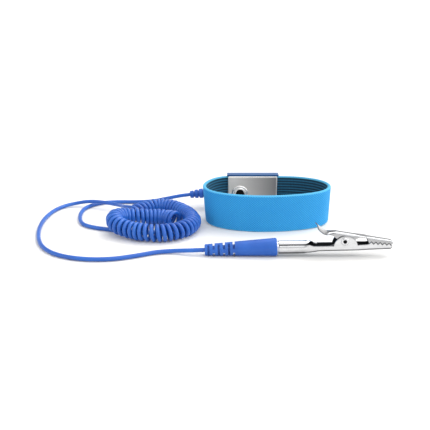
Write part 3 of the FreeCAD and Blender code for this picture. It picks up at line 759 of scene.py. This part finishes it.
def low_top(s):
    # upper edge of the lower half's flank
    if s < T0:
        pts = [(11.9, 2.5), (14.6, 1.9), (16.2, 1.25), (25.6, 1.25), (42.0, 1.65), (T0, 1.95)]
        h = at(pts, s)
        d = s - 31.5
        if abs(d) < 5.65:
            h = max(h, 0.55 + math.sqrt(5.65 ** 2 - d * d))
        return h
    if s <= T1:
        return tooth_mid(s) + at(TEETH, s) - GAP
    return at([(T1, 0.75 - GAP), (53.9, 0.7)], s)


def low_bottom(s):
    return at([(11.9, -2.5), (19.0, -1.5), (53.0, -1.15), (53.6, -0.8), (53.9, -0.4)], s)


LOW_HALF = [(11.9, 3.1), (16.0, 2.9), (26.0, 2.85), (37.6, 2.85), (42.2, 2.25), (53.2, 1.75), (53.9, 1.3)]


def radial(phi, w, d, p):
    # distance to a rounded box: half width w, depth d below the centre, open upwards
    si, co = abs(math.sin(phi)), math.cos(phi)
    if co >= 0:
        return w / max(si, 1e-4)
    return ((si / w) ** p + (-co / d) ** p) ** (-1.0 / p)


LOW_SHADE_PAINT, UP_SHADE_PAINT = [], []


def lower_rows():
    rows = []
    stations = [-0.75, -0.6, -0.4, -0.2, 0.0, 0.12, 0.3, 0.8] + [1.6 + 0.8 * k for k in range(13)]
    s = 11.9
    while s < 53.9:
        stations.append(s)
        s += 0.25 if (s < 24.8 or 38.5 < s < T0) else (0.14 if s < 38.5 else 0.13)
    stations += [a for a, _ in TEETH] + [53.9]
    stations = sorted(set(round(q, 4) for q in stations))
    N = 76
    for s in stations:
        k = smooth(s, 11.6, 15.2)
        w = at(LOW_HALF, max(s, 11.9))
        # centre of the section: the barrel's axis, sinking a little into the channel
        hc = 0.0 + 0.35 * k
        bot = low_bottom(max(s, 11.9))
        phi_a0, phi_b0 = math.radians(57.0), math.radians(57.0 + 350.0)
        top = low_top(max(s, 12.2))
        phi_a1 = math.atan2(w, top - hc)
        phi_b1 = 2 * math.pi - phi_a1
        flap = smooth(s, 12.6, 18.8)
        ka = smooth(s, 12.0, 15.0)
        pa = phi_a0 + (phi_a1 - phi_a0) * ka
        pb = phi_b0 + (phi_b1 - phi_b0) * flap
        row, shade_paint = [], []
        rb = 3.15 - 0.45 * smooth(0.15 - s, 0.0, 0.9)
        # the wrap sinks in a little along the seam, as pressed
        for j in range(N + 1):
            u = j / N
            # spaced evenly round the section
            phi = pa + (pb - pa) * u
            rbx = rb
            if phi > 2 * math.pi:
                rbx = rb - 0.28 * smooth(phi, 2 * math.pi + 0.15, 2 * math.pi + 0.9)
            box = radial(phi, w, hc - bot, 7.0) if math.cos(phi) < 0.999 else rb
            box = min(box, 3.4 if s < 22.0 else 9.0)
            if phi > 2 * math.pi - phi_a1 + 0.02 and s < 22.0:
                box = rbx = rb * (1.0 - 0.38 * smooth(s, 12.8, 18.0))
            r = rbx + (box - rbx) * k
            row.append(C(s, -r * math.sin(phi), (hc * 1.0) + r * math.cos(phi)))
            ph = min(phi, 2 * math.pi - phi)
            # painted shade and dark reflection: dark at the bottom bend and along the sheet's two ends
            low_h = hc + r * math.cos(phi) - bot
            bend = 1.0 - smooth(low_h, 0.45, 1.15) if s > 12 else 1.0 - smooth(low_h, 0.5, 1.4)
            bend *= 1.0 if abs(math.sin(phi)) > 0.35 else 0.4
            edge = (1.0 - smooth(u * (pb - pa) * r, 0.05, 0.30)) * 0.75
            edge2 = (1.0 - smooth((1 - u) * (pb - pa) * r, 0.05, 0.30)) * 0.75
            shade_paint.append(min(1.0, max(bend, edge, edge2)))
        rows.append(row)
        LOW_SHADE_PAINT.append(shade_paint)
    return rows


lower_vis = sheet_part("lower_jaw_pressed", lower_rows(), NICKEL, LOW_SHADE_PAINT)
solidify(lower_vis, SHEET, -1.0, lambda c: C(unclip(c)[0], 0.0, 0.6), NICKEL_INSIDE_SHADED)


UP_TOP = [(21.8, 7.9), (23.7, 7.75), (27.1, 7.95), (53.3, 3.2), (53.8, 2.95), (54.1, 2.6)]
UP_LOW = [(21.9, 7.3), (25.6, 6.0), (27.3, 4.6), (28.0, 2.8), (29.2, 1.2), (31.0, 0.75), (33.0, 1.1), (34.3, 1.9), (36.5, 4.5), (38.2, 5.1),
          (41.3, 5.0), (42.2, 3.1), (42.6, 1.95)]
UP_HALF = [(21.8, 2.6), (24.4, 2.25), (42.0, 2.25), (53.2, 1.75), (54.1, 1.3)]


def up_low(s):
    if s < T0:
        return at(UP_LOW, s)
    if s <= T1:
        return tooth_mid(s) + at(TEETH, s) + GAP
    return at([(T1, 0.75 + GAP), (54.1, 1.5)], s)


def upper_rows():
    rows = []
    s, stations = 23.2, []
    while s < 54.1:
        stations.append(s)
        s += 0.16 if s < 43 else 0.13
    stations += [a for a, _ in TEETH] + [a for a, _ in UP_LOW if a > 23.2] + [54.1]
    stations = sorted(set(round(q, 4) for q in stations))
    N = 60
    for s in stations:
        w = at(UP_HALF, s)
        top, low = at(UP_TOP, s), up_low(s)
        hc = top - min(w * 0.95, max(top - low, 0.5) * 0.6)
        # the ends of the flanks, seen from the centre of the roll
        end = math.atan2(w, low - hc)          # angle from up to the flank's lower end
        row, shade_paint = [], []
        for j in range(N + 1):
            phi = -end + 2 * end * j / N
            si, co = abs(math.sin(phi)), math.cos(phi)
            if co <= 0:
                r = w / max(si, 1e-4)
            else:
                r = ((si / w) ** 3.6 + (co / (top - hc)) ** 3.6) ** (-1.0 / 3.6)
            row.append(C(s, r * math.sin(phi), hc + r * math.cos(phi)))
            up = top - (hc + r * math.cos(phi))
            ends = min(j, N - j) * (2 * end / N) * r
            # painted dark reflection: a thin dark line a little below the top on the far side; painted shade along the
            # flank ends near the teeth
            shade_paint.append(min(1.0, max((1.0 - smooth(abs(up - 0.42), 0.2, 0.5)) * (0.8 if phi > 0 else 0.0), (1.0 - smooth(ends, 0.05, 0.3)) * 0.75 if s > 40 else 0.0)))
        rows.append(row)
        UP_SHADE_PAINT.append(shade_paint)
    return rows


upper_vis = sheet_part("upper_jaw_pressed", upper_rows(), NICKEL_UPPER_SHADED, UP_SHADE_PAINT)
solidify(upper_vis, SHEET, -1.0, lambda c: C(unclip(c)[0], 0.0, at(UP_TOP, unclip(c)[0]) - 2.2), NICKEL_INSIDE_SHADED)
# thumb tab: a crowned tongue whose edges are turned down
TAB_PATH = [(26.4, 7.78), (25.2, 7.68), (24.2, 7.55), (23.1, 7.62), (21.8, 8.1), (20.6, 8.9), (19.5, 9.8), (18.7, 10.6), (18.2, 11.2)]
TAB_HALF = [(18.2, 4.1), (18.45, 4.8), (19.2, 5.15), (20.4, 5.0), (21.6, 4.4), (23.2, 3.2), (24.4, 2.5), (26.4, 2.2)]
tab = []
for i in range(len(TAB_PATH) * 6 - 5):
    f = i / 6
    a = min(int(f), len(TAB_PATH) - 2)
    f -= a
    p0, p1, p2, p3 = [TAB_PATH[min(max(q, 0), len(TAB_PATH) - 1)] for q in (a - 1, a, a + 1, a + 2)]

    def cr(u0, u1, u2, u3):
        return 0.5 * (2 * u1 + (u2 - u0) * f + (2 * u0 - 5 * u1 + 4 * u2 - u3) * f * f + (3 * u1 - u0 - 3 * u2 + u3) * f ** 3)
    tab.append((cr(p0[0], p1[0], p2[0], p3[0]), cr(p0[1], p1[1], p2[1], p3[1])))
rows, TAB_SHADE_PAINT = [], []
for i, (sx, hx) in enumerate(tab):
    a, b = tab[max(i - 1, 0)], tab[min(i + 1, len(tab) - 1)]
    dx_, dy_ = b[0] - a[0], b[1] - a[1]
    L = math.hypot(dx_, dy_)
    nx, ny = dy_ / L, -dx_ / L               # the tongue's upper side
    w = at(TAB_HALF, sx)
    drop = 0.35 * smooth(24.6 - sx, 0.0, 3.0)
    row, shade_paint = [], []
    for j in range(33):
        v = -1 + 2 * j / 32
        sag = drop * abs(v) ** 2.6 + 0.12 * v * v
        row.append(C(sx - nx * sag, w * v, hx - ny * sag))
        # painted shade: darker towards the raised tip, along the turned-down edges there and at the tip's end
        shade_paint.append(max(0.30 * smooth(24.4 - sx, 0.0, 1.5), 0.85 * (1.0 - smooth((1 - abs(v)) * w, 0.1, 0.45)) * smooth(24.4 - sx, 0.0, 1.5),
                        0.85 * (1.0 - smooth(sx - 18.2, 0.1, 0.4))))
    rows.append(row)
    TAB_SHADE_PAINT.append(shade_paint)
tab_vis = sheet_part("thumb_tab_pressed", rows, NICKEL, TAB_SHADE_PAINT)
solidify(tab_vis, SHEET * 0.9, -1.0, lambda c: c - Vector((0.5, 0, 0.86)) * 0.003, NICKEL_INSIDE_SHADED)


def lathe(name, prof, centre, axis, mat, segs=40, bore=None):
    # prof: (radius, along the axis) in mm; closed at both ends on the axis
    bm = bmesh.new()
    z = axis.normalized()
    x = (Vector((0, 0, 1)) if abs(z.z) < 0.9 else Vector((1, 0, 0))).cross(z).normalized()
    y = z.cross(x)
    rings = []
    for r, h in prof:
        rings.append([bm.verts.new(centre + (x * math.cos(2 * math.pi * k / segs) + y * math.sin(2 * math.pi * k / segs)) * max(r, 0.004) * MM + z * h * MM) for k in range(segs)])
    for i in range(len(rings) - 1):
        for k in range(segs):
            f = bm.faces.new((rings[i][k], rings[i][(k + 1) % segs], rings[i + 1][(k + 1) % segs], rings[i + 1][k]))
            # faces inside the bore radius, and both end caps, take the painted bore shade
            if bore is not None and max(prof[i][0], prof[i + 1][0]) <= bore:
                f.material_index = 1
    for f in (bm.faces.new(list(reversed(rings[0]))), bm.faces.new(rings[-1])):
        f.material_index = 1 if bore is not None else 0
    bmesh.ops.recalc_face_normals(bm, faces=bm.faces)
    ob = new_object(name, bm, True, mat)
    if bore is not None:
        ob.data.materials.append(BORE_SHADE)
    ob.data.set_sharp_from_angle(angle=math.radians(40))
    return ob


# tubular rivet: rolled rims with a deep hole, its bore painted dark as shade
PIV = C(31.0, 0.0, 3.5)
rim_prof = [(0.0, 2.90), (0.82, 2.91), (0.86, 2.95), (0.86, 3.28), (0.95, 3.42), (1.2, 3.46), (1.62, 3.38), (1.86, 3.18), (1.95, 2.98), (1.95, 2.86),
            (1.1, 2.85), (1.1, -2.85), (1.95, -2.86), (1.95, -2.98), (1.86, -3.18), (1.62, -3.38), (1.2, -3.46), (0.95, -3.42), (0.86, -3.28),
            (0.86, -2.95), (0.82, -2.91), (0.0, -2.90)]
rivet_vis = lathe("pivot_rivet_rolled", rim_prof, PIV, Vector((0, 1, 0)), RIVET, bore=0.87)
# torsion spring: three turns on the pivot, one leg under the upper sheet, one on the channel's floor
sp_pts = []
for i in range(9):
    f = 1 - i / 8
    sp_pts.append(C(31.0 - 0.2 - 0.88 * 4.2 * f, -1.10, 3.5 + 1.5 + 0.475 * 4.2 * f))
n_w = 3.5
for i in range(1, int(n_w * 24)):
    a = math.radians(97.6) - 2 * math.pi * i / 24
    sp_pts.append(C(31.0 + 1.5 * math.cos(a), -1.10 + 2.20 * i / (n_w * 24), 3.5 + 1.5 * math.sin(a)))
for i in range(13):
    f = i / 12
    sp_pts.append(C(31.0 - 0.955 * 7.0 * f, 1.10, 3.5 - 1.5 - 0.345 * 7.0 * f))
spring_vis = tube("jaw_spring_wound", sp_pts, 0.30 * MM, 10, WIRE)
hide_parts("jaw_spring")
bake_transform(spring_vis)
# the eyelet on the skin side: a rolled flange round a bore painted dark as shade
STUD_AT = P(STUD[0], 0.0, STUD[2])
ey_prof = [(0.0, 14.95), (2.2, 14.92), (2.3, 14.8), (2.35, 14.3), (2.45, 13.95), (2.8, 13.70), (3.15, 13.66), (3.35, 13.80), (3.55, 13.92), (3.75, 13.80),
           (4.0, 13.62), (4.35, 13.66), (4.62, 13.86), (4.75, 14.15), (4.72, 14.62), (2.6, 14.63), (2.6, 16.25), (0.0, 16.25)]
eyelet_vis = lathe("stud_eyelet_rolled", ey_prof, STUD_AT, Vector((0, 1, 0)), EYELET, 56, bore=2.36)
for ob, node, body in ((eyelet_vis, "stud_rivet", "wristband"), (lower_vis, "lower_jaw", "clip"), (upper_vis, "upper_jaw", "upper_jaw"), (tab_vis, "upper_jaw", "upper_jaw"), (rivet_vis, "pivot_rivet", "clip")):
    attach(ob, body)
    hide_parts(node)

# ------------------------------------------------------------------ materials of the CAD nodes
LOOK = {
    "backplate": STEEL, "buckle_frame": CLASP, "buckle_lid": CLASP, "lid_hinge_pin": WIRE, "stud_rivet": PLATED, "snap_stud": PLATED,
    "connector_housing": PVC, "connector_strain_relief": PVC, "snap_socket": PLATED, "socket_spring": WIRE, "resistor_body": RESIST,
    "resistor_leads": WIRE, "clip_boot": PVC, "plug_pin": PLATED, "plug_leaves": PLATED, "lower_jaw": NICKEL, "upper_jaw": NICKEL,
    "pivot_rivet": NICKEL, "jaw_spring": WIRE}
for n, mat in LOOK.items():
    o = NODES[n]
    if not o.material_slots:
        o.data.materials.append(mat)
    for sl in o.material_slots:
        sl.material = mat

# ------------------------------------------------------------------ studio
bm = bmesh.new()
S = 2500.0
vs = [bm.verts.new(c) for c in ((-S, -S, 0), (S, -S, 0), (S, S, 0), (-S, S, 0))]
bm.faces.new(vs)
floor = new_object("floor", bm, False, m_floor())


def sun(name, direction, angle, strength, color=(1, 1, 1)):
    # a far, round softbox: direction points from the object to the lamp
    d = bpy.data.lights.new(name, "SUN")
    d.angle = math.radians(angle)
    d.energy = strength
    d.color = color
    o = bpy.data.objects.new(name, d)
    bpy.context.scene.collection.objects.link(o)
    o.rotation_euler = (-Vector(direction)).to_track_quat("-Z", "Y").to_euler()
    return o


sun("key", (0.40, 0.52, 0.80), 44, 1.35)
sun("fill", (0.40, -0.70, 0.62), 50, 0.50)
sun("side", (1.0, -0.12, 0.38), 30, 0.90)
sun("side_left", (-1.0, -0.35, 0.40), 40, 0.50)
w = bpy.data.worlds.new("studio")
bpy.context.scene.world = w
w.use_nodes = True
nt = w.node_tree
nt.nodes.clear()


def wn(kind, **props):
    n = nt.nodes.new(kind)
    for k, v in props.items():
        setattr(n, k, v)
    return n


def wmath(op, a, b=None):
    n = wn("ShaderNodeMath", operation=op)
    for k, v in enumerate((a, b)):
        if v is None:
            continue
        if isinstance(v, (int, float)):
            n.inputs[k].default_value = v
        else:
            nt.links.new(v, n.inputs[k])
    return n.outputs[0]


def wstep(x, a, b, lo_, hi_):
    n = wn("ShaderNodeMapRange", interpolation_type="SMOOTHSTEP")
    n.inputs["From Min"].default_value = a
    n.inputs["From Max"].default_value = b
    n.inputs["To Min"].default_value = lo_
    n.inputs["To Max"].default_value = hi_
    nt.links.new(x, n.inputs["Value"])
    return n.outputs["Result"]


tc = wn("ShaderNodeTexCoord")
sp3 = wn("ShaderNodeSeparateXYZ")
nt.links.new(tc.outputs["Generated"], sp3.inputs[0])
dx, dy, dz = sp3.outputs[0], sp3.outputs[1], sp3.outputs[2]
# soft overhead light, a brighter right side, a darker wall behind the table
overhead = wstep(dz, 0.50, 0.88, 0.0, 0.86)
side = wstep(dx, -0.9, 0.9, 0.34, 0.86)
behind = wmath("MULTIPLY", wstep(dy, 0.25, 0.85, 0.0, 0.55), wstep(dz, 0.35, 0.62, 1.0, 0.0))
low = wmath("MULTIPLY", side, wmath("SUBTRACT", 1.0, behind))
glow = wstep(dz, 0.14, 0.40, 1.0, 0.0)                    # pale all round at the horizon
low = wmath("ADD", wmath("MULTIPLY", low, wmath("SUBTRACT", 1.0, glow)), glow)
light = wmath("ADD", low, overhead)
bg = wn("ShaderNodeBackground")
bg.inputs[0].default_value = (1, 1, 1, 1)
nt.links.new(light, bg.inputs[1])
wo = wn("ShaderNodeOutputWorld")
nt.links.new(bg.outputs[0], wo.inputs[0])
bpy.context.scene.view_settings.view_transform = "Standard"
